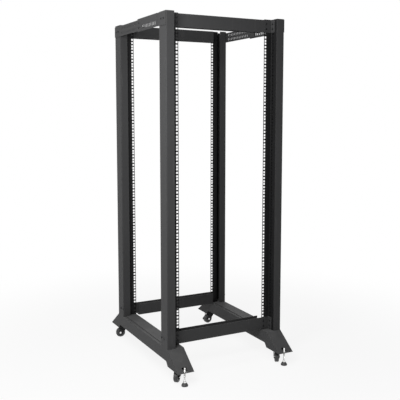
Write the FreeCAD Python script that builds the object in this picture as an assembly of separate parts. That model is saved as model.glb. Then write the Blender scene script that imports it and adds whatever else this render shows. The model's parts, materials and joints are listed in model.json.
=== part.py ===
"""Four post open frame rack on levelling feet and swivel casters.

Frame: +X to the right, +Y from the front to the back, +Z up, millimetres.
Origin: centre of the footprint, on the floor.
The front left corner is modelled once and mirrored to the other three.
"""
import FreeCAD, Part
import math
import os

from FreeCAD import Vector

# --- rack standard -------------------------------------------------------
rack_units = 31                  # usable units between the bottom and top bars
unit_height = 44.45
bay_width = 450.0                # clear width between the square-hole flanges
hole_column_spacing = 465.1      # centre to centre of the two hole columns
square_hole = 9.5
hole_heights = (6.35, 22.225, 38.1)   # hole centres above the foot of each unit

# --- posts and mounting rails, bent from one thickness of sheet ----------
frame_depth = 618.0              # front face to rear face of the posts
sheet = 2.0
bend_radius = 2.0                # inside radius of every bend
post_face = 40.0                 # front face of a post
post_web = 72.0                  # outer side of a post
post_return = 38.0               # flange on the far edge of the web
flange_width = 41.0              # square-hole flange, from the bay to its bend
flange_recess = 46.0             # square-hole flange, behind the front face
rail_tab = 30.0                  # hidden tab of the mounting rail, behind the face
side_hole = 7.0                  # holes in the rail's return wall
side_hole_setback = 33.0         # their column, behind the front face

# --- cross bars ----------------------------------------------------------
bar_height = 58.0
bar_inset = 3.0                  # bar to the end of the post
bar_depth = 36.0                 # depth of the bar's open channel
bar_tab = 26.0                   # end tabs, bent forward on the return walls
bar_clearance = 0.5              # bar end to return wall
channel_clearance = 3.0          # channel end to the square-hole flange
bar_bolt_pitch = 24.0

# --- telescoping top side rails ------------------------------------------
front_rail_height = 58.0
rear_rail_height = 50.0
rail_inset = 2.0                 # rail to the top end of the post
front_rail_reach = 308.0         # front rail, from the front face of the posts
rail_overlap = 46.0              # rear rail, behind the end of the front rail
joggle_run = 8.0                 # length of the step that lets the rails overlap
rail_slot_pitch = 16.0
front_slot = (7.0, 15.0)         # width and height
rear_slot = (5.0, 11.0)
slot_row_offset = 11.0           # slot rows, above and below the rail's middle
slot_margin = 16.0               # solid length at each end of a slot row

# --- base beams and sloped feet ------------------------------------------
base_sheet = 2.5
beam_height = 57.0
foot_drop = 20.5                 # foot underside, below the beam's lower edge
foot_run = 107.0                 # sloped foot, beyond the posts
foot_step = 17.0                 # length of the slanted step behind the foot
window_width = 22.0
window_length = 26.0             # along the slope
upstand_height = 62.0            # tab that the post is screwed to
upstand_margin = 9.0
strip_thickness = 3.0
strip_margin = 14.0              # strip edge to beam edge
strip_gap = 2.0                  # strip end to post

# --- swivel casters ------------------------------------------------------
wheel_radius = 24.0
wheel_width = 20.0
wheel_floor_gap = 2.0            # the rack stands on its levelling feet
tread_bevel = 3.0
hub_radius = 13.0
boss_radius = 6.5
hub_dish = 2.5
axle_radius = 3.0
axle_head_radius = 5.0
axle_head = 2.0
running_clearance = 0.05         # axle in wheel, kingpin in plate, stem in foot
fork_sheet = 2.0
fork_side_gap = 2.0              # wheel to fork arm
fork_top_gap = 4.0               # wheel to crown
fork_end_radius = 8.0
crown_radius = 17.0
race_height = 4.0
race_radius = 15.0
race_gap = 0.4                   # race to crown
kingpin_radius = 4.0
plate_thickness = 2.5
plate_length = 50.0
plate_width = 60.0
trail = 20.0                     # swivel axis to wheel axis
caster_setback = 27.0            # swivel axis, beyond the face of the posts
trail_angles = {                 # where each caster trails at rest, from +X
    "left_front": 225.0,
    "right_front": 240.0,
    "left_rear": 160.0,
    "right_rear": 185.0,
}

# --- levelling feet ------------------------------------------------------
stem_radius = 4.0
stem_above_foot = 20.0
stem_socket = 8.0                # stem held inside the pad
pad_radius = 15.0
pad_height = 14.0
pad_neck_radius = 9.0
pad_rim = 5.0
nut_flats = 13.0
nut_height = 6.0
leveller_clearance = 5.0         # pad to the circle that the wheel sweeps

# --- values that follow from the sizes above -----------------------------
half_depth = frame_depth / 2
wall_x = bay_width / 2 + flange_width          # bay side of the return wall
half_width = wall_x + post_face
half_bay = bay_width / 2
wheel_z = wheel_floor_gap + wheel_radius
crown_low = wheel_z + wheel_radius + fork_top_gap
crown_high = crown_low + fork_sheet
race_low = crown_high + race_gap
plate_low = race_low + race_height
foot_low = plate_low + plate_thickness
beam_low = foot_low + foot_drop
base_top = beam_low + beam_height
bar_span = bar_height + bar_inset
post_length = rack_units * unit_height + 2 * bar_span
post_top = base_top + post_length
units_low = base_top + bar_span
flange_y = flange_recess - half_depth          # front of the square-hole flange
beam_width = half_width - half_bay
beam_x = -(half_width + half_bay) / 2
foot_rise = base_top - foot_low
slope_length = math.hypot(foot_run, foot_rise)
caster_y = -half_depth - caster_setback
sweep_radius = math.hypot(trail + wheel_radius, wheel_width / 2)
leveller_y = caster_y - sweep_radius - leveller_clearance - pad_radius

CORNERS = ("left_front", "right_front", "left_rear", "right_rear")


def outline(corners, to_vector):
    """Flat face from (u, v, radius) corners; a radius over zero rounds its corner."""
    count = len(corners)
    arcs = []
    for i in range(count):
        u, v, radius = corners[i]
        point = Vector(u, v, 0)
        before = (Vector(*corners[i - 1][:2], 0) - point).normalize()
        after = (Vector(*corners[(i + 1) % count][:2], 0) - point).normalize()
        if radius <= 0:
            arcs.append((point, None, point))
            continue
        half_turn = before.getAngle(after) / 2
        middle = (before + after).normalize()
        centre = point + middle * (radius / math.sin(half_turn))
        reach = radius / math.tan(half_turn)
        arcs.append((point + before * reach, centre - middle * radius, point + after * reach))
    edges = []
    for i in range(count):
        start, crest, end = [p and to_vector(p.x, p.y) for p in arcs[i]]
        if crest:
            edges.append(Part.Arc(start, crest, end).toShape())
        following = arcs[(i + 1) % count][0]
        following = to_vector(following.x, following.y)
        if end.distanceToPoint(following) > 1e-6:
            edges.append(Part.LineSegment(end, following).toShape())
    return Part.Face(Part.Wire(edges))


def plan(u, v):
    return Vector(u, v, 0)


def side(u, v):
    return Vector(0, u, v)


def bent_sheet(path, thickness, to_vector, shift, length):
    """Sheet bent along a path of (u, v) corners and drawn out by the vector length.

    The path is one surface of the sheet; a positive thickness lies to its left.
    """
    points = [Vector(u, v, 0) for u, v in path]
    steps = [(b - a).normalize() for a, b in zip(points, points[1:])]
    normals = [Vector(-s.y, s.x, 0) for s in steps]
    near = [(points[0].x, points[0].y, 0)]
    start = points[0] + normals[0] * thickness
    far = [(start.x, start.y, 0)]
    for i in range(1, len(points) - 1):
        across = normals[i - 1] + normals[i]
        mitre = across * (thickness / (across.dot(normals[i])))
        turn = steps[i - 1].cross(steps[i]).z * thickness
        outer = bend_radius + abs(thickness)
        near.append((points[i].x, points[i].y, outer if turn > 0 else bend_radius))
        moved = points[i] + mitre
        far.append((moved.x, moved.y, bend_radius if turn > 0 else outer))
    near.append((points[-1].x, points[-1].y, 0))
    end = points[-1] + normals[-1] * thickness
    far.append((end.x, end.y, 0))
    face = outline(near + far[::-1], to_vector)
    face.translate(shift)
    return face.extrude(length)


def box(low, high):
    size = [b - a for a, b in zip(low, high)]
    return Part.makeBox(size[0], size[1], size[2], Vector(*low))


def centred_box(centre, size):
    low = [c - s / 2 for c, s in zip(centre, size)]
    high = [c + s / 2 for c, s in zip(centre, size)]
    return box(low, high)


def rod(radius, low, high, at=(0, 0)):
    return Part.makeCylinder(radius, high - low, Vector(at[0], at[1], low))


def to_corner(shape, corner):
    """Mirror a left front shape to one of the four corners."""
    placed = shape.copy()
    if corner.startswith("right"):
        placed = placed.mirror(Vector(0, 0, 0), Vector(1, 0, 0))
    if corner.endswith("rear"):
        placed = placed.mirror(Vector(0, 0, 0), Vector(0, 1, 0))
    return placed


def write(name, shape):
    """One STEP file for a node, which is one closed solid."""
    if len(shape.Solids) != 1 or not shape.isValid():
        raise ValueError(name + " is not one valid solid")
    shape.Solids[0].exportStep("parts/" + name + ".step")


def make_post():
    """Outer channel: face, web and return flange, open towards the bay."""
    front = -half_depth
    path = [
        (-wall_x, front),
        (-half_width, front),
        (-half_width, front + post_web),
        (-half_width + post_return, front + post_web),
    ]
    return bent_sheet(path, -sheet, plan, Vector(0, 0, base_top), Vector(0, 0, post_length))


def unit_hole_heights():
    """Heights of every square hole, three to a unit."""
    return [
        units_low + unit * unit_height + height
        for unit in range(rack_units)
        for height in hole_heights
    ]


def bar_bolt_heights():
    """Heights of the two bolts at each end of the bottom and top bars."""
    middles = (units_low - bar_height / 2, post_top - bar_span + bar_height / 2)
    return [m + s * bar_bolt_pitch / 2 for m in middles for s in (-1, 1)]


def make_mounting_rail():
    """Z-bent rail: tab behind the post's face, return wall, square-hole flange."""
    front = -half_depth + sheet
    path = [
        (-wall_x - rail_tab, front),
        (-wall_x, front),
        (-wall_x, flange_y),
        (-half_bay, flange_y),
    ]
    rail = bent_sheet(path, sheet, plan, Vector(0, 0, base_top), Vector(0, 0, post_length))
    hole_size = (square_hole, 4 * sheet, square_hole)
    column_x = -hole_column_spacing / 2
    heights = unit_hole_heights() + bar_bolt_heights()
    cutters = [centred_box((column_x, flange_y, z), hole_size) for z in heights]
    side_size = (4 * sheet, side_hole, side_hole)
    side_y = -half_depth + side_hole_setback
    for unit in range(rack_units):
        z = units_low + unit * unit_height + hole_heights[1]
        cutters.append(centred_box((-wall_x, side_y, z), side_size))
    return rail.cut(Part.makeCompound(cutters))


def make_bottom_bar():
    """Front plate with end tabs bent forward, and an open-topped channel behind it."""
    end = wall_x - bar_clearance
    low = base_top + bar_inset
    path = [
        (-end, flange_y - sheet - bar_tab),
        (-end, flange_y),
        (end, flange_y),
        (end, flange_y - sheet - bar_tab),
    ]
    plate = bent_sheet(path, -sheet, plan, Vector(0, 0, low), Vector(0, 0, bar_height))
    reach = half_bay - channel_clearance
    channel_path = [
        (flange_y - sheet, low),
        (flange_y + bar_depth, low),
        (flange_y + bar_depth, low + bar_height),
    ]
    channel = bent_sheet(
        channel_path, sheet, side, Vector(-reach, 0, 0), Vector(2 * reach, 0, 0))
    return plate.fuse(channel).removeSplitter()


def slot_row(first, last, height, size, x):
    """A row of upright slots between two places along the rail."""
    count = int((last - first) // rail_slot_pitch) + 1
    start = (first + last - (count - 1) * rail_slot_pitch) / 2
    return [
        centred_box((x, start + i * rail_slot_pitch, height), (8 * sheet, size[0], size[1]))
        for i in range(count)
    ]


def make_front_top_rail():
    """Front half of the side rail, stepped out to lie over the rear half."""
    front = -half_depth
    step = front + post_web + joggle_run
    outer = -half_width - sheet
    path = [
        (outer, front + rail_inset),
        (outer, step),
        (outer - sheet, step + joggle_run),
        (outer - sheet, front + front_rail_reach),
    ]
    low = post_top - rail_inset - front_rail_height
    rail = bent_sheet(
        path, -sheet, plan, Vector(0, 0, low), Vector(0, 0, front_rail_height))
    first = step + joggle_run + slot_margin
    last = front + front_rail_reach - rail_overlap - slot_margin / 2
    height = low + front_rail_height / 2 - slot_row_offset
    return rail.cut(Part.makeCompound(slot_row(first, last, height, front_slot, outer)))


def make_rear_top_rail():
    """Rear half of the side rail, flat on the rear post and behind the front half."""
    start = -half_depth + front_rail_reach - rail_overlap
    end = half_depth - rail_inset
    middle = post_top - rail_inset - front_rail_height / 2
    low = middle - rear_rail_height / 2
    rail = box((-half_width - sheet, start, low), (-half_width, end, low + rear_rail_height))
    first = -half_depth + front_rail_reach + slot_margin
    last = half_depth - post_web - slot_margin
    cutters = []
    for offset in (-slot_row_offset, slot_row_offset):
        cutters += slot_row(first, last, middle + offset, rear_slot, -half_width)
    return rail.cut(Part.makeCompound(cutters))


def slope_point(height):
    """Place along the depth of the foot's slope at a height, on its outer surface."""
    return -half_depth - foot_run + (height - foot_low) * foot_run / foot_rise


def make_base_beam():
    """Inverted channel with a sloped, closed foot at each end and post upstands."""
    tip = half_depth + foot_run
    step_end = half_depth - foot_step
    profile = [
        (-tip, foot_low), (-half_depth, foot_low), (-step_end, beam_low),
        (step_end, beam_low), (half_depth, foot_low), (tip, foot_low),
        (half_depth, base_top), (-half_depth, base_top),
    ]
    shell = outline([(y, z, 0) for y, z in profile], side)
    shell.translate(Vector(-half_width, 0, 0))
    beam = shell.extrude(Vector(beam_width, 0, 0))
    setback = base_sheet * slope_length / foot_rise
    shelf = foot_low + base_sheet
    ceiling = base_top - base_sheet
    low_y = slope_point(shelf) + setback
    high_y = slope_point(ceiling) + setback
    below = foot_low - foot_drop
    hollow = [
        (low_y, shelf), (-half_depth, shelf), (-half_depth, below), (half_depth, below),
        (half_depth, shelf), (-low_y, shelf), (-high_y, ceiling), (high_y, ceiling),
    ]
    cavity = outline([(y, z, 0) for y, z in hollow], side)
    cavity.translate(Vector(-half_width + base_sheet, 0, 0))
    beam = beam.cut(cavity.extrude(Vector(beam_width - 2 * base_sheet, 0, 0)))
    web_inside = -half_width + sheet
    upstand = box(
        (web_inside, -half_depth + upstand_margin, base_top - base_sheet),
        (web_inside + base_sheet, -half_depth + post_web - upstand_margin,
         base_top + upstand_height))
    cutters = []
    for end in ("left_front", "left_rear"):
        beam = beam.fuse(to_corner(upstand, end))
        window = centred_box((0, 0, 0), (window_width, window_length, 6 * base_sheet))
        window.rotate(Vector(0, 0, 0), Vector(1, 0, 0),
                      math.degrees(math.atan2(foot_rise, foot_run)))
        window_z = foot_low + (leveller_y + half_depth + foot_run) * foot_rise / foot_run
        window.translate(Vector(beam_x, leveller_y, window_z))
        hole = rod(stem_radius + running_clearance, foot_low - 1, shelf + 1,
                   (beam_x, leveller_y))
        cutters += [to_corner(window, end), to_corner(hole, end)]
    return beam.cut(Part.makeCompound(cutters)).removeSplitter()


def make_base_strip():
    """Flat strip on top of the beam, between the posts."""
    end = half_depth - post_web - strip_gap
    return box(
        (-half_width + strip_margin, -end, base_top),
        (-half_bay - strip_margin, end, base_top + strip_thickness))


def make_caster_plate():
    """Top plate with the swivel race under it, at the left front swivel axis."""
    at = (beam_x, caster_y)
    plate = centred_box(
        (at[0], at[1], plate_low + plate_thickness / 2),
        (plate_width, plate_length, plate_thickness))
    race = rod(race_radius, race_low, plate_low, at)
    bore = rod(kingpin_radius + running_clearance, race_low - 1, foot_low + 1, at)
    return plate.fuse(race).cut(bore).removeSplitter()


def make_fork():
    """Crown, kingpin and two tapered arms; the swivel axis is the Z axis."""
    inner = wheel_width / 2 + fork_side_gap
    outer = inner + fork_sheet
    arm_profile = [
        (-crown_radius, crown_high, 0), (crown_radius, crown_high, 0),
        (trail + fork_end_radius, wheel_z, fork_end_radius / 2),
        (trail + fork_end_radius / 2, wheel_z - fork_end_radius, fork_end_radius / 2),
        (trail - fork_end_radius, wheel_z - fork_end_radius, fork_end_radius / 2),
    ]
    arm = outline(arm_profile, lambda u, v: Vector(u, 0, v))
    arm.translate(Vector(0, -outer, 0))
    arms = arm.extrude(Vector(0, 2 * outer, 0))
    wide = 2 * (trail + wheel_radius + fork_end_radius)
    between = box((-wide, -inner, 0), (wide, inner, crown_low))
    fork = arms.cut(between)
    kingpin_top = foot_low - race_gap
    fork = fork.fuse(rod(kingpin_radius, crown_low, kingpin_top))
    bore = Part.makeCylinder(
        axle_radius, 4 * outer, Vector(trail, -2 * outer, wheel_z), Vector(0, 1, 0))
    return fork.cut(bore).removeSplitter()


def make_axle():
    """Axle with a low head outside each fork arm."""
    outer = wheel_width / 2 + fork_side_gap + fork_sheet
    across = Vector(0, 1, 0)
    pin = Part.makeCylinder(axle_radius, 2 * outer, Vector(trail, -outer, wheel_z), across)
    for start in (-outer - axle_head, outer):
        head = Part.makeCylinder(
            axle_head_radius, axle_head, Vector(trail, start, wheel_z), across)
        pin = pin.fuse(head)
    return pin.removeSplitter()


def make_wheel():
    """Wheel with a bevelled tread and dished hub, turned about its axle."""
    half = wheel_width / 2
    dish = half - hub_dish
    bore = axle_radius + running_clearance
    right = [
        (half, bore, 0), (half, boss_radius, 0), (dish, boss_radius, 0),
        (dish, hub_radius, 0), (half, hub_radius, 0),
        (half, wheel_radius - tread_bevel, 0), (half - tread_bevel, wheel_radius, 0),
    ]
    left = [(-along, radius, 0) for along, radius, _ in reversed(right)]
    face = outline(right + left, side)
    wheel = face.revolve(Vector(0, 0, 0), Vector(0, 1, 0), 360)
    wheel.translate(Vector(trail, 0, wheel_z))
    return wheel


def at_swivel(shape, corner):
    """Turn a caster shape to its rest angle and put it on its swivel axis."""
    axis_x = beam_x if corner.startswith("left") else -beam_x
    axis_y = caster_y if corner.endswith("front") else -caster_y
    placed = shape.copy()
    placed.rotate(Vector(0, 0, 0), Vector(0, 0, 1), trail_angles[corner])
    placed.translate(Vector(axis_x, axis_y, 0))
    return placed


def make_stem():
    """Threaded stem with its hexagon, standing in the pad."""
    at = (beam_x, leveller_y)
    stem = rod(stem_radius, pad_height - stem_socket, foot_low + stem_above_foot, at)
    reach = nut_flats / math.sqrt(3)
    hexagon = [
        (at[0] + reach * math.cos(math.radians(60 * i)),
         at[1] + reach * math.sin(math.radians(60 * i)), 0)
        for i in range(6)
    ]
    nut = outline(hexagon, plan)
    nut.translate(Vector(0, 0, pad_height))
    return stem.fuse(nut.extrude(Vector(0, 0, nut_height))).removeSplitter()


def make_pad():
    """Round foot pad with a sloping shoulder and a socket for the stem."""
    socket = stem_radius + running_clearance
    floor = pad_height - stem_socket
    profile = [
        (0, 0, 0), (pad_radius, 0, 0), (pad_radius, pad_rim, 0),
        (pad_neck_radius, pad_height, 0), (socket, pad_height, 0),
        (socket, floor, 0), (0, floor, 0),
    ]
    face = outline(profile, lambda u, v: Vector(u, 0, v))
    pad = face.revolve(Vector(0, 0, 0), Vector(0, 0, 1), 360)
    pad.translate(Vector(beam_x, leveller_y, 0))
    return pad


def main():
    os.makedirs("parts", exist_ok=True)
    at_corners = {
        "post": make_post(),
        "mounting_rail": make_mounting_rail(),
        "caster_plate": make_caster_plate(),
        "leveller_stem": make_stem(),
        "leveller_pad": make_pad(),
    }
    casters = {
        "caster_fork": make_fork(),
        "caster_axle": make_axle(),
        "caster_wheel": make_wheel(),
    }
    for corner in CORNERS:
        for name, shape in at_corners.items():
            write(name + "_" + corner, to_corner(shape, corner))
        for name, shape in casters.items():
            write(name + "_" + corner, at_swivel(shape, corner))
    bottom_bar = make_bottom_bar()
    middle = Vector(0, 0, (base_top + post_top) / 2)
    top_bar = bottom_bar.mirror(middle, Vector(0, 0, 1))
    for end in ("front", "rear"):
        write("bottom_bar_" + end, to_corner(bottom_bar, "left_" + end))
        write("top_bar_" + end, to_corner(top_bar, "left_" + end))
    for hand in ("left", "right"):
        corner = hand + "_front"
        write("top_rail_" + hand + "_front", to_corner(make_front_top_rail(), corner))
        write("top_rail_" + hand + "_rear", to_corner(make_rear_top_rail(), corner))
        write("base_beam_" + hand, to_corner(make_base_beam(), corner))
        write("base_strip_" + hand, to_corner(make_base_strip(), corner))


main()
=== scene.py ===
# %% [markdown]
# # An open equipment rack in black powder coat
# The imported rack is loaded first and stays where it is: every piece below takes its
# place from it. The box of the bare rack is printed, so that the box of the finished
# model, printed at the end, can be read against it.

# %% Load the rack
import json
import math

import bmesh
import bpy
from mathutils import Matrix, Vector


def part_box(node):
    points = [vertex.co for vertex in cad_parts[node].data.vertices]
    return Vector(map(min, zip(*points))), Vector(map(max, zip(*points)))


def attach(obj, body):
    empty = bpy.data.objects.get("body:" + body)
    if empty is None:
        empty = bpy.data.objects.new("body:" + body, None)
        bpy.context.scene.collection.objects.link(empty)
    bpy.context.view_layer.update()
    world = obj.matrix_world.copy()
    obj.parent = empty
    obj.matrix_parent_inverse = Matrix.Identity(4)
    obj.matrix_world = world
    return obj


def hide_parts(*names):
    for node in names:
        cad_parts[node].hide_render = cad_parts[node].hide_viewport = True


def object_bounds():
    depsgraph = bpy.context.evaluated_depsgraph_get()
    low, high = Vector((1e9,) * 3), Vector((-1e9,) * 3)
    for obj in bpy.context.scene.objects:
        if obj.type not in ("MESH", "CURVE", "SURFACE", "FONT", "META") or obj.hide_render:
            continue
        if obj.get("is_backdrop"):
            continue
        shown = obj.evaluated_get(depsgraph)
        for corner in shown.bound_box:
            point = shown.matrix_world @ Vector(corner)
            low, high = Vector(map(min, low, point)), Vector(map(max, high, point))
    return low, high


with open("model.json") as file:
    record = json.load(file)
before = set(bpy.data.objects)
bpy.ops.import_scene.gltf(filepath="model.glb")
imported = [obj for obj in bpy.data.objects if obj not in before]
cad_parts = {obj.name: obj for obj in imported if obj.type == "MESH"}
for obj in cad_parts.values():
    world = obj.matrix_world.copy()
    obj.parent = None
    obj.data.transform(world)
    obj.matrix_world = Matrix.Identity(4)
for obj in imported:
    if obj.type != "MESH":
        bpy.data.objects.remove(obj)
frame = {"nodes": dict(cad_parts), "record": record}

cad_low, cad_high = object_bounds()
print("rack box", [round(v, 3) for v in cad_low], [round(v, 3) for v in cad_high])

# %% [markdown]
# ## Sizes that the pieces share
# The unit height, the holes and their columns belong to the rack standard, while sheet
# and bends are the maker's choice, and each is written once here. Places are read from
# the boxes of the rack's own nodes. They could be typed in as numbers, but this way a
# screw stays on its plate even if the plate moves.

# %% Sizes
MM = 0.001
SHEET = 2 * MM
UNIT = 44.45 * MM
UNITS = 31
HOLE_HEIGHTS = (6.35 * MM, 22.225 * MM, 38.1 * MM)
SQUARE_HOLE = 9.5 * MM
SIDE_HOLE = 7 * MM
COLUMN_X = 232.55 * MM
SIDE_COLUMN_SETBACK = 33 * MM
BOLT_PITCH = 24 * MM
BEND = 2 * MM
MERGE_DISTANCE = 0.01 * MM
SEED = 7
CORNERS = {
    "left_front": (-1, -1), "right_front": (1, -1),
    "left_rear": (-1, 1), "right_rear": (1, 1),
}

rail_low, rail_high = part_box("mounting_rail_left_front")
post_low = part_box("post_left_front")[0]
bar_low, bar_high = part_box("bottom_bar_front")
top_low, top_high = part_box("top_bar_front")
FLANGE_Y = rail_high.y - SHEET
UNITS_LOW = bar_high.z
SIDE_COLUMN_Y = post_low.y + SIDE_COLUMN_SETBACK
BAR_MIDDLES = ((bar_low.z + bar_high.z) / 2, (top_low.z + top_high.z) / 2)
print("square-hole flange at", round(FLANGE_Y, 4), "first unit at", round(UNITS_LOW, 4))

# %% [markdown]
# ## A small language for nodes
# Materials, the world and Geometry Nodes are all graphs of nodes. Much of a finish is a
# sum, such as a base tone plus a little noise, and a graph hides that sum in its wires.
# The graph could be written out node by node and link by link, but then the sum is hard
# to read. So one class wraps a socket and gives it the signs of ordinary arithmetic.
# Numbers stay numbers until they meet a wire.

# %% Wires that can be added and multiplied


class Wire:
    """An output socket; arithmetic on it adds Math nodes to its graph."""

    def __init__(self, graph, socket):
        self.graph = graph
        self.socket = socket

    def _math(self, operation, *values):
        inputs = dict(enumerate(values))
        return self.graph.node("ShaderNodeMath", {"operation": operation}, inputs).out(0)

    def __add__(self, other):
        return self._math("ADD", self, other)

    def __sub__(self, other):
        return self._math("SUBTRACT", self, other)

    def __rsub__(self, other):
        return self._math("SUBTRACT", other, self)

    def __mul__(self, other):
        return self._math("MULTIPLY", self, other)

    __radd__ = __add__
    __rmul__ = __mul__


print("wires can be added, subtracted and multiplied")

# %% [markdown]
# One method makes every node: settings go on the node first, because some of them
# change its sockets, and values or wires go into the sockets afterwards.

# %% Nodes and graphs


class Made:
    """A node that was just made: put() fills an input, out() gives an output as a wire."""

    def __init__(self, graph, node):
        self.graph = graph
        self.node = node

    def put(self, key, value):
        socket = self.node.inputs[key]
        if isinstance(value, Wire):
            self.graph.tree.links.new(value.socket, socket)
        else:
            socket.default_value = value

    def out(self, key):
        return Wire(self.graph, self.node.outputs[key])


def set_stops(ramp, stops):
    """Give a colour ramp its grey stops, each a (position, level)."""
    while len(ramp.elements) < len(stops):
        ramp.elements.new(1.0)
    for element, (position, level) in zip(ramp.elements, stops):
        element.position = position
        element.color = (level, level, level, 1)


class Graph:
    """A node tree of any kind."""

    def __init__(self, tree):
        self.tree = tree

    def node(self, kind, settings=None, inputs=None):
        node = self.tree.nodes.new(kind)
        for key, value in (settings or {}).items():
            if key == "stops":
                set_stops(node.color_ramp, value)
            else:
                setattr(node, key, value)
        made = Made(self, node)
        for key, value in (inputs or {}).items():
            made.put(key, value)
        return made


print("graphs ready")

# %% [markdown]
# ## What every finish shares
# Each finish is one Principled shader. Its patterns read object coordinates, which are
# in metres here, so a scale says about how many features fit in a metre and nothing has
# to be unwrapped. Noise, ramps, colour mixes and bumps come back in every finish, so
# each has a short method. A Mix node has several sockets of the same name, one for each
# kind of value, so those for colours are found by their number.

# %% A finish
FIRST_COLOUR = 6
SECOND_COLOUR = 7
MIXED_COLOUR = 2


class Finish(Graph):
    """A material graph on one Principled shader, in object coordinates."""

    def __init__(self, name):
        self.material = bpy.data.materials.new(name)
        self.material.use_nodes = True
        super().__init__(self.material.node_tree)
        self.tree.nodes.clear()
        self.shader = self.node("ShaderNodeBsdfPrincipled")
        self.output = self.node("ShaderNodeOutputMaterial", {}, {"Surface": self.shader.out(0)})
        self.place = self.node("ShaderNodeTexCoord").out("Object")

    def noise(self, scale, detail=2.0, stretch=(1, 1, 1), roughness=0.5):
        placed = self.node("ShaderNodeMapping", {}, {"Vector": self.place, "Scale": stretch})
        inputs = {
            "Vector": placed.out(0), "Scale": scale, "Detail": detail, "Roughness": roughness,
        }
        return self.node("ShaderNodeTexNoise", {}, inputs).out("Fac")

    def ramp(self, wire, *stops):
        return self.node("ShaderNodeValToRGB", {"stops": stops}, {"Fac": wire}).out("Color")

    def blend(self, factor, first, second):
        """A mix of two colours, each a plain red, green and blue or a wire."""
        inputs = {"Factor": factor}
        for key, colour in ((FIRST_COLOUR, first), (SECOND_COLOUR, second)):
            inputs[key] = colour if isinstance(colour, Wire) else (*colour, 1)
        return self.node("ShaderNodeMix", {"data_type": "RGBA"}, inputs).out(MIXED_COLOUR)

    def bump(self, height, distance, strength):
        inputs = {"Height": height, "Distance": distance, "Strength": strength}
        self.shader.put("Normal", self.node("ShaderNodeBump", {}, inputs).out(0))

    def upward(self, start, end):
        """1 on faces that look up, 0 on the others: where dust settles."""
        normal = self.node("ShaderNodeNewGeometry").out("Normal")
        parts = self.node("ShaderNodeSeparateXYZ", {}, {"Vector": normal})
        inputs = {"Value": parts.out("Z"), "From Min": start, "From Max": end}
        return self.node("ShaderNodeMapRange", {}, inputs).out(0)


print("finish ready")

# %% [markdown]
# ## Powder coat
# The sheet metal is sprayed with dry powder that melts into a skin. Close up it has a
# fine orange peel, so a small noise bends the highlights; from a step away the skin is
# even, with slow changes in gloss. Handling leaves faint grey scuffs, and a little
# dust lies on what looks up. It could be a picture of a coat wrapped round each sheet,
# but a picture repeats and ends at every seam. Noise on object coordinates does not, so
# it runs on from piece to piece. The mounting rails get a coat far darker than the
# posts: painted shade for the recess inside each post where the rails stand.

# %% Powder coat on the frame
COAT_SPECULAR = 0.08
SLOW_SWING = 0.10


def powder_coat(name, colour, scuffed, dusty, roughness, peel):
    """Semi-matt powder coat with orange peel, scuffs and dust."""
    finish = Finish(name)
    slow = finish.noise(5.0, detail=3.0)
    grain = finish.noise(900.0, detail=1.0)
    streaks = finish.noise(38.0, detail=5.0, stretch=(1, 1, 0.12), roughness=0.65)
    scuffs = finish.ramp(streaks, (0.60, 0.0), (0.72, 1.0)) * slow
    dust = finish.upward(0.6, 0.95) * finish.ramp(finish.noise(14.0, 4.0), (0.3, 0.35), (0.7, 1.0))
    darker = tuple(channel * 0.86 for channel in colour)
    lighter = tuple(channel * 1.12 for channel in colour)
    skin = finish.blend(slow, darker, lighter)
    marked = finish.blend(scuffs * 0.5, skin, scuffed)
    speckled = finish.blend(finish.ramp(grain, (0.62, 0.0), (0.78, 0.35)), marked, lighter)
    settled = finish.blend(dust * 0.45, speckled, dusty)
    finish.shader.put("Base Color", settled)
    gloss = slow * SLOW_SWING + scuffs * 0.12 + dust * 0.12 + (roughness - SLOW_SWING / 2)
    finish.shader.put("Roughness", gloss)
    finish.shader.put("Specular IOR Level", COAT_SPECULAR)
    finish.bump(grain * 0.6 + finish.noise(320.0, 2.0) * 0.4, peel, 0.35)
    return finish.material


coat = powder_coat(
    "charcoal_powder_coat", colour=(0.050, 0.050, 0.051), scuffed=(0.125, 0.125, 0.125),
    dusty=(0.165, 0.165, 0.165), roughness=0.44, peel=0.12 * MM)
# The rails' coat is far darker than the posts' coat: painted shade for the recess inside each
# post.
rail_coat_painted_shade = powder_coat(
    "rail_black_coat", colour=(0.014, 0.014, 0.0145), scuffed=(0.10, 0.10, 0.10),
    dusty=(0.08, 0.08, 0.08), roughness=0.42, peel=0.12 * MM)
caster_coat = powder_coat(
    "caster_black_coat", colour=(0.026, 0.026, 0.027), scuffed=(0.13, 0.13, 0.13),
    dusty=(0.115, 0.115, 0.115), roughness=0.36, peel=0.06 * MM)
print("made", coat.name, rail_coat_painted_shade.name, "and", caster_coat.name)

# %% [markdown]
# ## Bright zinc
# Screws, axles and levelling stems are zinc plated: a metal with a soft shine, faint
# streaks from rolling and a cloudy change of tone. The streaks could be an anisotropic
# shine, but on parts this small a stretched noise in the roughness reads the same.
# Metals take their colour from what they mirror, so most of the variation goes there.

# %% Zinc plate


def zinc_plate(name, colour, dulled, roughness):
    """Plated steel with cloudy tone and fine streaks."""
    finish = Finish(name)
    cloud = finish.noise(160.0, detail=3.0)
    lines = finish.noise(700.0, detail=2.0, stretch=(1, 1, 0.1))
    finish.shader.put("Base Color", finish.blend(cloud, dulled, colour))
    finish.shader.put("Metallic", 1.0)
    finish.shader.put("Roughness", cloud * 0.18 + lines * 0.10 + (roughness - 0.10))
    finish.bump(lines, 0.03 * MM, 0.3)
    return finish.material


zinc = zinc_plate("bright_zinc", (0.86, 0.86, 0.85), (0.70, 0.70, 0.69), 0.34)
black_zinc = zinc_plate("black_zinc", (0.045, 0.045, 0.047), (0.02, 0.02, 0.021), 0.40)
print("made", zinc.name, "and", black_zinc.name)

# %% [markdown]
# ## Wheels and pads
# The wheels are hard black plastic with a slight shine, and the pads are a softer, matt
# black. Both pick up dust from the floor. Two materials could be built apart, but they
# differ only in tone, gloss and grain, so one function makes both from those values.

# %% Plastic and rubber


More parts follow.
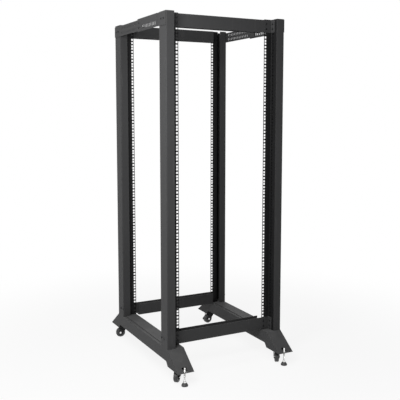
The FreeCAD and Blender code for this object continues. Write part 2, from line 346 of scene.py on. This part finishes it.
def moulded(name, colour, dusty, roughness, grain_scale, depth):
    """Moulded black plastic or rubber with grain and cloudy floor dust."""
    finish = Finish(name)
    cloud = finish.noise(55.0, detail=4.0)
    grain = finish.noise(grain_scale, detail=2.0)
    dust = finish.ramp(cloud, (0.52, 0.0), (0.75, 1.0))
    finish.shader.put("Base Color", finish.blend(dust * 0.35, colour, dusty))
    finish.shader.put("Roughness", dust * 0.2 + grain * 0.08 + roughness)
    finish.bump(grain, depth, 0.4)
    return finish.material


wheel_plastic = moulded(
    "wheel_plastic", (0.036, 0.036, 0.037), (0.18, 0.177, 0.165), 0.34, 600.0, 0.05 * MM)
pad_rubber = moulded(
    "pad_rubber", (0.033, 0.033, 0.034), (0.21, 0.207, 0.195), 0.52, 420.0, 0.08 * MM)
print("made", wheel_plastic.name, "and", pad_rubber.name)

# %% [markdown]
# ## Dress the rack's own nodes
# The shapes that came with the rack are right, so they only get a finish. Each node
# could be named here with its material, but the record already says which slot it
# belongs to, so one material for each slot is enough.

# %% Materials on the nodes
FINISHES = {
    "frame_black": coat,
    "caster_black": caster_coat,
    "wheel_black": wheel_plastic,
    "pad_black": pad_rubber,
    "zinc": zinc,
}
slots = {part["node"]: part["material_slot"] for part in frame["record"]["subparts"]}
for name, node in frame["nodes"].items():
    node.data.materials.clear()
    node.data.materials.append(FINISHES[slots[name]])
print("dressed", len(frame["nodes"]), "nodes")

# %% [markdown]
# ## Geometry Nodes in plain steps
# Two things repeat here: a rack unit repeats up a rail, and a screw head repeats over
# the frame. Both graphs need the same few moves, so small helpers name their inputs,
# set them and turn the evaluated result into a plain mesh.

# %% Helpers for Geometry Nodes


def new_graph(name, inputs):
    """A Geometry Nodes graph with named inputs of (socket type, default value)."""
    tree = bpy.data.node_groups.new(name, "GeometryNodeTree")
    tree.interface.new_socket("Geometry", in_out="INPUT", socket_type="NodeSocketGeometry")
    for label, (kind, default) in inputs.items():
        socket = tree.interface.new_socket(label, in_out="INPUT", socket_type=kind)
        if default is not None:
            socket.default_value = default
    tree.interface.new_socket("Geometry", in_out="OUTPUT", socket_type="NodeSocketGeometry")
    return Graph(tree)


def run_graph(piece, graph, values, finished_name):
    """Run a graph on a piece and give back the result as a plain mesh object."""
    modifier = piece.modifiers.new("repeat", "NODES")
    modifier.node_group = graph.tree
    for item in graph.tree.interface.items_tree:
        if item.item_type == "SOCKET" and item.in_out == "INPUT" and item.name in values:
            modifier[item.identifier] = values[item.name]
    depsgraph = bpy.context.evaluated_depsgraph_get()
    mesh = bpy.data.meshes.new_from_object(piece.evaluated_get(depsgraph))
    piece.modifiers.remove(modifier)
    bpy.data.objects.remove(piece)
    made = bpy.data.objects.new(finished_name, mesh)
    bpy.context.scene.collection.objects.link(made)
    return made


def show(name, vertices, faces):
    """A mesh object from vertices and faces."""
    mesh = bpy.data.meshes.new(name)
    mesh.from_pydata([tuple(v) for v in vertices], [], faces)
    mesh.validate()
    made = bpy.data.objects.new(name, mesh)
    bpy.context.scene.collection.objects.link(made)
    return made


print("Geometry Nodes helpers ready")

# %% [markdown]
# ## The section of a mounting rail
# A rail is one strip of sheet with two bends: a hidden tab, the return wall and the
# flange with the square holes. A Solidify modifier could thicken a single surface. Here
# the section is walked once as pairs of points, one on each face of the sheet, so that
# each bend gets its own inside and outside radius. The bends get three steps each,
# which is enough for a 2 mm radius.

# %% Walk the section
TAB = 30 * MM
WALL_X = rail_low.x + TAB
BEND_STEPS = 3


def bend(centre, near, far, start, end):
    """Point pairs round a bend, from one angle to the other, in degrees."""
    pairs = []
    for i in range(BEND_STEPS + 1):
        angle = math.radians(start + (end - start) * i / BEND_STEPS)
        out = Vector((math.cos(angle), math.sin(angle)))
        pairs.append((centre + out * near, centre + out * far))
    return pairs


def across(points, through):
    """Point pairs on a flat wall, given the vector through the sheet."""
    return [(Vector(p), Vector(p) + Vector(through)) for p in points]


def rail_section():
    """Pairs of points on both faces of the sheet, and the columns that hold holes."""
    outer = BEND + SHEET
    tab_bend = Vector((WALL_X - outer, rail_low.y + outer))
    flange_bend = Vector((WALL_X + BEND, FLANGE_Y - BEND))
    side = [(WALL_X, SIDE_COLUMN_Y + s * SIDE_HOLE / 2) for s in (-1, 1)]
    square = [(-COLUMN_X + s * SQUARE_HOLE / 2, FLANGE_Y) for s in (-1, 1)]
    pairs = across([(rail_low.x, rail_low.y)], (0, SHEET))
    pairs += bend(tab_bend, outer, BEND, -90, 0)
    side_column = len(pairs)
    pairs += across(side, (-SHEET, 0))
    pairs += bend(flange_bend, BEND, outer, 180, 90)
    square_column = len(pairs)
    pairs += across(square + [(rail_high.x, FLANGE_Y)], (0, SHEET))
    return pairs, side_column, square_column


section, side_column, square_column = rail_section()
print("section of", len(section), "point pairs")

# %% [markdown]
# The holes could be cut with a Boolean modifier, which is slow over hundreds of holes
# and can leave slivers. A stretch of rail is a grid instead: the section goes one way
# and heights the other, and a cell that lies in a hole is left out. Wherever a kept
# cell meets a missing one, a narrow wall closes the sheet, so a hole has real depth.

# %% A stretch of perforated sheet


def stretch(levels, in_hole, closed_levels=()):
    """Vertices and faces of the section drawn through the levels, less its holes.

    Closed levels, given by their index, are the true ends of the sheet.
    """
    columns = len(section) - 1
    rows = len(levels) - 1
    vertices = [
        (point.x, point.y, z) for z in levels for pair in section for point in pair
    ]

    def corner(column, row, face):
        return (row * len(section) + column) * 2 + face

    def kept(column, row):
        if column in (-1, columns):
            return False
        if row in (-1, rows):
            return (0 if row < 0 else rows) not in closed_levels
        return not in_hole(column, (levels[row] + levels[row + 1]) / 2)

    faces = []
    for row in range(rows):
        for column in range(columns):
            if not kept(column, row):
                continue
            ring = ((column, row), (column + 1, row), (column + 1, row + 1), (column, row + 1))
            faces.append([corner(c, r, 0) for c, r in ring])
            faces.append([corner(c, r, 1) for c, r in reversed(ring)])
            beside = ((column, row - 1), (column + 1, row), (column, row + 1), (column - 1, row))
            for i, neighbour in enumerate(beside):
                if kept(*neighbour):
                    continue
                a = ring[i]
                b = ring[(i + 1) % 4]
                faces.append([
                    corner(*b, 0), corner(*a, 0), corner(*a, 1), corner(*b, 1)])
    return vertices, faces


def in_unit_hole(column, z):
    """Whether a cell of one rack unit lies in a square hole or a side hole."""
    sizes = {square_column: SQUARE_HOLE, side_column: SIDE_HOLE}
    if column not in sizes:
        return False
    return any(abs(z - height) < sizes[column] / 2 for height in HOLE_HEIGHTS)


unit_levels = [0.0, UNIT]
for height in HOLE_HEIGHTS:
    for size in (SQUARE_HOLE, SIDE_HOLE):
        unit_levels += [height - size / 2, height + size / 2]
unit_levels.sort()
unit_mesh = stretch(unit_levels, in_unit_hole)
print("one rack unit of rail has", len(unit_mesh[1]), "faces")

# %% [markdown]
# ## Repeat the unit up the rail
# A rail is the same unit again and again. A Python loop or an Array modifier could copy
# it, but a graph with named inputs also says what its numbers mean: the line has one
# point for each unit, and merging by distance joins the copies into one sheet. The
# graph ends with real geometry, because an exported model would lose its instances.

# %% Graph: units in a line
units = new_graph("units_in_a_line", {
    "Units": ("NodeSocketInt", UNITS),
    "Unit Height": ("NodeSocketFloat", UNIT),
    "Merge Distance": ("NodeSocketFloat", MERGE_DISTANCE),
    "Finish": ("NodeSocketMaterial", None),
})
given = units.node("NodeGroupInput")
rise = units.node("ShaderNodeCombineXYZ", {}, {"Z": given.out("Unit Height")})
line = units.node("GeometryNodeMeshLine", {"mode": "OFFSET"}, {
    "Count": given.out("Units"), "Offset": rise.out(0)})
copies = units.node("GeometryNodeInstanceOnPoints", {}, {
    "Points": line.out(0), "Instance": given.out("Geometry")})
real = units.node("GeometryNodeRealizeInstances", {}, {"Geometry": copies.out(0)})
merged = units.node("GeometryNodeMergeByDistance", {}, {
    "Geometry": real.out(0), "Distance": given.out("Merge Distance")})
coated = units.node("GeometryNodeSetMaterial", {}, {
    "Geometry": merged.out(0), "Material": given.out("Finish")})
units.node("NodeGroupOutput", {}, {"Geometry": coated.out(0)})
print("graph units_in_a_line with", len(units.tree.nodes), "nodes")

# %% [markdown]
# The two ends of a rail, beside the cross bars, have no unit: each has only the two
# square holes that its bolts go through. They could be cut from longer units, but the
# same section drawn between two other heights gives them directly.

# %% The ends of a rail


def rail_end(low, high, closed):
    """An end of the rail between two heights, closed at its low or its high level."""
    middle = min(BAR_MIDDLES, key=lambda z: abs(z - (low + high) / 2))
    bolts = [middle + s * BOLT_PITCH / 2 for s in (-1, 1)]
    levels = [low, high]
    for bolt in bolts:
        levels += [bolt - SQUARE_HOLE / 2, bolt + SQUARE_HOLE / 2]
    levels.sort()

    def in_hole(column, z):
        return column == square_column and any(abs(z - b) < SQUARE_HOLE / 2 for b in bolts)

    return stretch(levels, in_hole, (0,) if closed == "low" else (len(levels) - 1,))


UNITS_HIGH = UNITS_LOW + UNITS * UNIT
ends = [
    show("rail_foot", *rail_end(rail_low.z, UNITS_LOW, "low")),
    show("rail_head", *rail_end(UNITS_HIGH, rail_high.z, "high")),
]
print("rail ends of", [len(end.data.polygons) for end in ends], "faces")

# %% [markdown]
# The line of units and the two ends meet point for point, so merging what lies together
# makes one closed sheet. A count of the edges that do not have exactly two faces shows
# that it is closed.

# %% Join one rail


def raised(mesh, lift):
    """The same vertices and faces, moved up."""
    vertices, faces = mesh
    return [(x, y, z + lift) for x, y, z in vertices], faces


def joined(pieces):
    """One bmesh of several mesh objects, with the meeting points merged."""
    whole = bmesh.new()
    for piece in pieces:
        whole.from_mesh(piece.data)
        bpy.data.objects.remove(piece)
    bmesh.ops.remove_doubles(whole, verts=whole.verts, dist=MERGE_DISTANCE)
    loose = [v for v in whole.verts if not v.link_faces]
    bmesh.ops.delete(whole, geom=loose, context="VERTS")
    bmesh.ops.recalc_face_normals(whole, faces=whole.faces)
    return whole


first_unit = show("unit_of_rail", *raised(unit_mesh, UNITS_LOW))
unit_line = run_graph(first_unit, units, {"Finish": rail_coat_painted_shade}, "rail_units")
rail = joined([unit_line] + ends)
open_edges = sum(1 for edge in rail.edges if len(edge.link_faces) != 2)
print("rail has", len(rail.faces), "faces and", open_edges, "open edges")

# %% [markdown]
# The four rails are one part seen in mirrors: left to right, front to back, or both. A
# negative scale would do it, but a finished piece stays unscaled, so the points move
# instead. One mirror turns every face inside out, and then the faces are turned back.

# %% Mirror it to the four corners


def mirrored(whole, name, x_sign, y_sign, material):
    """A copy of the left front mesh for one corner, mirrored as its signs say."""
    copy = whole.copy()
    for vertex in copy.verts:
        vertex.co.x *= -x_sign
        vertex.co.y *= -y_sign
    if x_sign * y_sign < 0:
        bmesh.ops.reverse_faces(copy, faces=copy.faces)
    mesh = bpy.data.meshes.new(name)
    copy.to_mesh(mesh)
    copy.free()
    mesh.materials.clear()
    mesh.materials.append(material)
    for face in mesh.polygons:
        face.material_index = 0
    made = bpy.data.objects.new(name, mesh)
    bpy.context.scene.collection.objects.link(made)
    return made


# Every rail wears the darker coat, which paints the shade of the recess inside its post.
for corner, (x_sign, y_sign) in CORNERS.items():
    piece = mirrored(rail, "perforated_rail_" + corner, x_sign, y_sign, rail_coat_painted_shade)
    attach(piece, "rack")
    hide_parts("mounting_rail_" + corner)
rail.free()
print("four rails with", len(HOLE_HEIGHTS) * UNITS, "square holes each")

# %% [markdown]
# ## Round parts
# Screw heads, threads and nuts are all rings stacked along an axis. Spin and Screw
# modifiers make such shapes from a profile, but their ring is always a circle. Here the
# radius of a ring is a function of the angle, so a circle, a hexagon and a thread come
# from the same few lines.

# %% Rings and turned shapes


def around(sides, z, radius):
    """A ring of points at one height; its radius is a function of the angle."""
    angles = [2 * math.pi * i / sides for i in range(sides)]
    return [(radius(a) * math.cos(a), radius(a) * math.sin(a), z) for a in angles]


def from_flat(angle):
    """How far an angle lies from the middle of its side of a hexagon."""
    return (angle + math.pi / 6) % (math.pi / 3) - math.pi / 6


def circle(radius):
    """The radius of a circle, as a function of the angle."""
    return lambda angle: radius


def hexagon(corner):
    """The radius of a hexagon, as a function of the angle, given that of its corners."""
    return lambda angle: corner * math.cos(math.pi / 6) / math.cos(from_flat(angle))


def turned(rings):
    """Vertices and faces through rings of equal length, closed at both ends."""
    sides = len(rings[0])
    vertices = [point for one in rings for point in one]
    faces = [list(range(sides))[::-1]]
    for i in range(len(rings) - 1):
        for j in range(sides):
            k = (j + 1) % sides
            faces.append([
                i * sides + j, i * sides + k, (i + 1) * sides + k, (i + 1) * sides + j])
    faces.append([(len(rings) - 1) * sides + j for j in range(sides)])
    return vertices, faces


print("a hexagon with corners at 1 is", round(2 * hexagon(1.0)(0.0), 3), "across its flats")

# %% [markdown]
# ## Screws
# The frame is bolted together with low button heads. A head follows a short profile,
# each point a share of its radius and height, and its socket is a hexagon sunk into the
# top. It could be a cylinder with a bevel, but that has no socket, and the socket is
# what makes a dot look like a screw.

# %% One button head
HEAD_RADIUS = 5.0 * MM
HEAD_HEIGHT = 2.8 * MM
HEAD_SIDES = 24
HEAD_PROFILE = ((1.0, 0.0), (1.0, 0.35), (0.9, 0.68), (0.72, 0.92), (0.55, 1.0))
SOCKET_REACH = 0.42
SOCKET_FLOOR = 0.35


def head_rings():
    """Rings over the head's outside and down into its socket."""
    rings = [
        around(HEAD_SIDES, HEAD_HEIGHT * rise, circle(HEAD_RADIUS * share))
        for share, rise in HEAD_PROFILE]
    socket = hexagon(HEAD_RADIUS * SOCKET_REACH)
    return rings + [
        around(HEAD_SIDES, HEAD_HEIGHT, socket),
        around(HEAD_SIDES, HEAD_HEIGHT * SOCKET_FLOOR, socket)]


head = show("button_head", *turned(head_rings()))
print("button head of", len(head.data.polygons), "faces")

# %% [markdown]
# A loop could copy the head to every place, but the graph keeps the head and its places
# apart, so that either can change alone. It puts a copy on every point of a cloud and
# stands it on its plate by a direction that is stored on the point. Each head also gets
# its own turn about its axis, from a fixed seed, because nobody lines screws up. The
# sockets of Random Value share their names too, so they are found by number.

# %% Graph: a head on every point
LEAST_NUMBER = 2
MOST_NUMBER = 3
RANDOM_NUMBER = 1
heads = new_graph("heads_on_points", {
    "Head": ("NodeSocketObject", None),
    "Most Turn": ("NodeSocketFloat", math.pi / 3),
    "Seed": ("NodeSocketInt", SEED),
    "Finish": ("NodeSocketMaterial", None),
})
given = heads.node("NodeGroupInput")
facing = heads.node("GeometryNodeInputNamedAttribute", {"data_type": "FLOAT_VECTOR"}, {
    "Name": "facing"})
standing = heads.node("FunctionNodeAlignRotationToVector", {"axis": "Z"}, {
    "Vector": facing.out(0)})
spin = heads.node("FunctionNodeRandomValue", {"data_type": "FLOAT"}, {
    LEAST_NUMBER: 0.0, MOST_NUMBER: given.out("Most Turn"), "Seed": given.out("Seed")})
turn = heads.node("FunctionNodeAxisAngleToRotation", {}, {"Angle": spin.out(RANDOM_NUMBER)})
posed = heads.node("FunctionNodeRotateRotation", {"rotation_space": "LOCAL"}, {
    0: standing.out(0), 1: turn.out(0)})
part = heads.node("GeometryNodeObjectInfo", {}, {"Object": given.out("Head")})
placed = heads.node("GeometryNodeInstanceOnPoints", {}, {
    "Points": given.out("Geometry"), "Instance": part.out("Geometry"),
    "Rotation": posed.out(0)})
real = heads.node("GeometryNodeRealizeInstances", {}, {"Geometry": placed.out(0)})
plated = heads.node("GeometryNodeSetMaterial", {}, {
    "Geometry": real.out(0), "Material": given.out("Finish")})
heads.node("NodeGroupOutput", {}, {"Geometry": plated.out(0)})
print("graph heads_on_points with", len(heads.tree.nodes), "nodes")

# %% [markdown]
# ## Where the screws go
# The list follows the assembly: two through each end of a cross bar, two through each
# of its end tabs, two low on every post, two where a top rail meets a post, two where
# the halves of a top rail overlap, and four under each caster plate. The places could
# be a list of numbers, but here each is a setback or a rise from the box of the piece
# that it holds.

# %% Collect the screw points
lap_low, lap_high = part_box("top_rail_left_front")
plate_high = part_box("caster_plate_left_front")[1]
RAIL_MIDDLE = (lap_low.z + lap_high.z) / 2
TAB_INSIDE_X = bar_high.x - SHEET
POST_OUTSIDE_X = -post_low.x
LAP_OUTSIDE_X = -lap_low.x
FOOT_SCREW_RISE = 41 * MM
FOOT_SCREW_SETBACKS = (38 * MM, 63 * MM)
RAIL_SCREW_SETBACKS = (20 * MM, 48 * MM)
LAP_SETBACK = 13 * MM
LAP_RISE = 11 * MM
PLATE_THICKNESS = 2.5 * MM
PLATE_MARGIN = 7 * MM


def corner_points(x_sign, y_sign):
    """Pairs of (place, direction that the head faces) for the screws of one corner."""
    found = []
    post_face = post_low.y * -y_sign
    for middle in BAR_MIDDLES:
        for rise in (-BOLT_PITCH / 2, BOLT_PITCH / 2):
            z = middle + rise
            plate = (x_sign * COLUMN_X, -y_sign * (FLANGE_Y - SHEET), z)
            tab = (x_sign * TAB_INSIDE_X, -y_sign * SIDE_COLUMN_Y, z)
            found.append((plate, (0, y_sign, 0)))
            found.append((tab, (-x_sign, 0, 0)))
    for setback in FOOT_SCREW_SETBACKS:
        place = (
            x_sign * POST_OUTSIDE_X, post_face - y_sign * setback, post_low.z + FOOT_SCREW_RISE)
        found.append((place, (x_sign, 0, 0)))
    for setback in RAIL_SCREW_SETBACKS:
        place = (x_sign * (POST_OUTSIDE_X + SHEET), post_face - y_sign * setback, RAIL_MIDDLE)
        found.append((place, (x_sign, 0, 0)))
    return found


def lap_points():
    """The two screws on each side where the halves of a top rail overlap."""
    return [
        ((side * LAP_OUTSIDE_X, lap_high.y - LAP_SETBACK, RAIL_MIDDLE + rise), (side, 0, 0))
        for side in (-1, 1) for rise in (-LAP_RISE, LAP_RISE)]


def plate_points():
    """Four screws under every caster plate, facing down."""
    found = []
    under = plate_high.z - PLATE_THICKNESS
    for corner in CORNERS:
        low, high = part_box("caster_plate_" + corner)
        for x in (low.x + PLATE_MARGIN, high.x - PLATE_MARGIN):
            for y in (low.y + PLATE_MARGIN, high.y - PLATE_MARGIN):
                found.append(((x, y, under), (0, 0, -1)))
    return found


points = [point for signs in CORNERS.values() for point in corner_points(*signs)]
points += lap_points() + plate_points()
print("screws to place:", len(points))

# %% [markdown]
# The points become a cloud of loose vertices, and the direction of each is stored as an
# attribute beside it. The graph then turns the whole cloud into one mesh.

# %% Put a head on each point
cloud = show("screw_points", [place for place, _ in points], [])
directions = cloud.data.attributes.new("facing", "FLOAT_VECTOR", "POINT")
directions.data.foreach_set("vector", [v for _, direction in points for v in direction])
screws = run_graph(cloud, heads, {"Head": head, "Finish": black_zinc}, "frame_screws")
bpy.data.objects.remove(head)
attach(screws, "rack")
print("frame screws:", len(screws.data.polygons), "faces")

# %% [markdown]
# ## Threaded stems
# A levelling stem is a screw, and bright threads catch the light where a plain rod
# would show one smooth line. A Screw modifier could wind a profile up the stem, but its
# two ends would stay open. Here the thread is a closed surface whose radius swings once
# for each turn and each pitch, which takes one formula. The hexagon above the pad is
# cut back where a cone is smaller, and that is how a real nut gets its rounded corners.

# %% Thread and hexagon
PITCH = 1.25 * MM
STEM_RADIUS = 4.0 * MM
THREAD_DEPTH = 0.65 * MM
THREAD_SIDES = 20
ROWS_PER_PITCH = 6
TIP_CHAMFER = 1.0 * MM
NUT_FLATS = 13 * MM
NUT_HEIGHT = 6 * MM
NUT_CHAMFER = 0.9 * MM
NUT_SIDES = 48
CONE_AT_END = 0.96
CONE_INSIDE = 1.18
stem_low, stem_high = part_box("leveller_stem_left_front")
NUT_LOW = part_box("leveller_pad_left_front")[1].z
NUT_HIGH = NUT_LOW + NUT_HEIGHT


def thread_ring(z, top):
    """One ring of the thread, chamfered near the top of the stem."""
    limit = STEM_RADIUS - max(0.0, z - (top - TIP_CHAMFER))

    def radius(angle):
        phase = (z / PITCH - angle / (2 * math.pi)) % 1.0
        return min(STEM_RADIUS - THREAD_DEPTH * abs(2 * phase - 1), limit)

    return around(THREAD_SIDES, z, radius)


def thread_rings(low, high):
    """Rings of the thread between two heights."""
    count = int((high - low) / PITCH * ROWS_PER_PITCH)
    return [thread_ring(low + (high - low) * i / count, high) for i in range(count + 1)]


def nut_ring(z, cone):
    """One ring of the hexagon, no wider than a cone given as a share of its half width."""
    flat = NUT_FLATS / 2
    return around(
        NUT_SIDES, z, lambda angle: min(flat / math.cos(from_flat(angle)), flat * cone))


def nut_rings():
    """Rings of the hexagon, with its corners cut at both ends."""
    return [
        nut_ring(NUT_LOW, CONE_AT_END), nut_ring(NUT_LOW + NUT_CHAMFER, CONE_INSIDE),
        nut_ring(NUT_HIGH - NUT_CHAMFER, CONE_INSIDE), nut_ring(NUT_HIGH, CONE_AT_END)]


print("nut from", round(NUT_LOW, 4), "to", round(NUT_HIGH, 4))

# %% [markdown]
# A stem is three closed shapes that run into each other inside the nut: the thread, the
# hexagon and the plain foot. They could be fused, but nothing of the joint would show.
# The four feet are alike, so the stem is made once and moved to each corner.

# %% Four stems


def stem_mesh():
    """Thread, hexagon and plain foot of a stem, about its own axis."""
    middle = (NUT_LOW + NUT_HIGH) / 2
    foot = [around(THREAD_SIDES, z, circle(STEM_RADIUS)) for z in (stem_low.z, middle)]
    vertices = []
    faces = []
    for rings in (thread_rings(middle, stem_high.z), nut_rings(), foot):
        more, more_faces = turned(rings)
        faces += [[index + len(vertices) for index in face] for face in more_faces]
        vertices += more
    return vertices, faces


stem = stem_mesh()
for corner in CORNERS:
    low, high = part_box("leveller_stem_" + corner)
    at = (low + high) / 2
    moved = [(x + at.x, y + at.y, z) for x, y, z in stem[0]]
    piece = show("threaded_stem_" + corner, moved, stem[1])
    piece.data.materials.append(zinc)
    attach(piece, "leveller_" + corner)
    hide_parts("leveller_stem_" + corner)
print("stems of", len(stem[1]), "faces each")

# %% [markdown]
# ## Floor and white surround
# The rack stands on a pale floor in a white room. Both could be lit until they turn
# white, but that much light would wash out the shadow and flood the rack. Cycles says
# of each ray what sent it out, so both can look white to some rays and light nothing.

# %% Rays that see the surround
DIRECT_RAYS = ("Is Camera Ray", "Is Glossy Ray", "Is Transmission Ray")


def seen_directly(graph):
    """1 for rays from the camera, from mirrors and through glass, otherwise 0."""
    rays = graph.node("ShaderNodeLightPath")
    missed = 1 - rays.out(DIRECT_RAYS[0])
    for kind in DIRECT_RAYS[1:]:
        missed = missed * (1 - rays.out(kind))
    return 1 - missed


print("seen by", len(DIRECT_RAYS), "kinds of ray")

# %% [markdown]
# For those rays the floor is a blend of a plain pale surface and a white glow, with
# less glow near the rack, where its shadow lies. For every other ray it is only the
# pale surface, and adds no light of its own.

# %% Floor
SHADOW_WHITENESS = 0.88
SHADOW_REACH = 0.6
ALL_WHITE_FROM = 2.0


def whiteness(finish):
    """How much of the floor's look is plain white: all of it away from the rack."""
    distance = finish.node("ShaderNodeVectorMath", {"operation": "LENGTH"}, {0: finish.place})
    inputs = {
        "Value": distance.out("Value"), "From Min": SHADOW_REACH, "From Max": ALL_WHITE_FROM,
        "To Min": SHADOW_WHITENESS, "To Max": 1.0,
    }
    return finish.node("ShaderNodeMapRange", {"interpolation_type": "SMOOTHSTEP"}, inputs).out(0)


floor_finish = Finish("pale_floor")
floor_finish.shader.put("Base Color", (0.80, 0.80, 0.80, 1))
floor_finish.shader.put("Roughness", 0.8)
glow = floor_finish.node("ShaderNodeEmission", {}, {"Color": (1, 1, 1, 1), "Strength": 1.0})
floor_look = floor_finish.node("ShaderNodeMixShader", {}, {
    "Fac": seen_directly(floor_finish) * whiteness(floor_finish),
    1: floor_finish.shader.out(0), 2: glow.out(0)})
floor_finish.output.put("Surface", floor_look.out(0))

HALF_FLOOR = 14.0
FLOOR_GAP = 0.2 * MM
floor = show("floor", [
    (-HALF_FLOOR, -HALF_FLOOR, 0), (HALF_FLOOR, -HALF_FLOOR, 0),
    (HALF_FLOOR, HALF_FLOOR, 0), (-HALF_FLOOR, HALF_FLOOR, 0)], [[0, 1, 2, 3]])
floor.location.z = cad_low.z - FLOOR_GAP
floor.data.materials.append(floor_finish.material)
floor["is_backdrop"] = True
print("floor", 2 * HALF_FLOOR, "m square")

# %% [markdown]
# The world follows the same rule as the floor. What the camera or a shiny part sees of
# it is plain white, and what lights the rack is a faint grey, so that the inside of the
# rack stays dark.

# %% White world
ROOM_LIGHT = 0.02
PLAIN_WHITE = 1.0
world = bpy.data.worlds.new("white_room")
bpy.context.scene.world = world
world.use_nodes = True
world.node_tree.nodes.clear()
surround = Graph(world.node_tree)
room, wall = [
    surround.node("ShaderNodeBackground", {}, {"Color": (1, 1, 1, 1), "Strength": strength})
    for strength in (ROOM_LIGHT, PLAIN_WHITE)]
room_look = surround.node("ShaderNodeMixShader", {}, {
    "Fac": seen_directly(surround), 1: room.out(0), 2: wall.out(0)})
surround.node("ShaderNodeOutputWorld", {}, {"Surface": room_look.out(0)})
print("world light", ROOM_LIGHT)

# %% [markdown]
# ## Studio light
# A soft box stands close to the front left post, so its light falls off over the width
# of the rack and the right posts come out darker than the left ones. A sun lamp would
# light them all alike. An overhead panel lights the tops of the base beams. Both are
# weak enough that a colour comes out about as it is written.

# %% Lamps


def soft_box(name, place, target, size, power):
    """A square area lamp of so many watts that looks at a point."""
    data = bpy.data.lights.new(name, "AREA")
    data.shape = "SQUARE"
    data.size = size
    data.energy = power
    lamp = bpy.data.objects.new(name, data)
    lamp.location = place
    aim = Vector(target) - Vector(place)
    lamp.rotation_euler = aim.to_track_quat("-Z", "Y").to_euler()
    bpy.context.scene.collection.objects.link(lamp)


rack_middle = (cad_low + cad_high) / 2
soft_box("key", (-1.15, -1.22, 1.55), (-0.3, -0.2, 0.85), size=0.8, power=30)
soft_box("overhead", (-0.9, -0.2, 3.5), rack_middle, size=1.8, power=42)
print("two soft boxes")

# %% [markdown]
# ## Camera
# The rack is seen from its front left, from about chest height, with a medium lens. A
# level camera would keep the posts exactly upright, but it would need a large shift,
# which stays in the other views and pushes the rack out of them. So the camera looks
# slightly down, and the frame is moved only a little.

# %% Camera
LOOK_DOWN = 5.92
LOOK_RIGHT = 27.66
camera_data = bpy.data.cameras.new("camera")
camera_data.sensor_width = 36.0
camera_data.lens = 59.25
camera_data.shift_y = -0.045
camera = bpy.data.objects.new("camera", camera_data)
camera.location = (-1.509, -2.919, 1.199)
camera.rotation_euler = (math.radians(90 - LOOK_DOWN), 0, math.radians(-LOOK_RIGHT))
bpy.context.scene.collection.objects.link(camera)
bpy.context.scene.camera = camera
print("lens", camera_data.lens, "mm")

# %% [markdown]
# A view transform can bend colours to look like film. The plain one shows each colour
# as it is written, which is what a library of parts needs.

# %% Colour as written
bpy.context.scene.view_settings.view_transform = "Standard"
print("view transform", bpy.context.scene.view_settings.view_transform)

# %% [markdown]
# ## The size of the finished model
# The finished model keeps the box of the bare rack, apart from the screw heads on the
# outside of the top rails. Its box is printed here; that of the bare rack was printed
# at the start.

# %% Size of the finished model
bpy.context.view_layer.update()
low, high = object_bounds()
print("visual box", [round(v, 3) for v in low], [round(v, 3) for v in high])
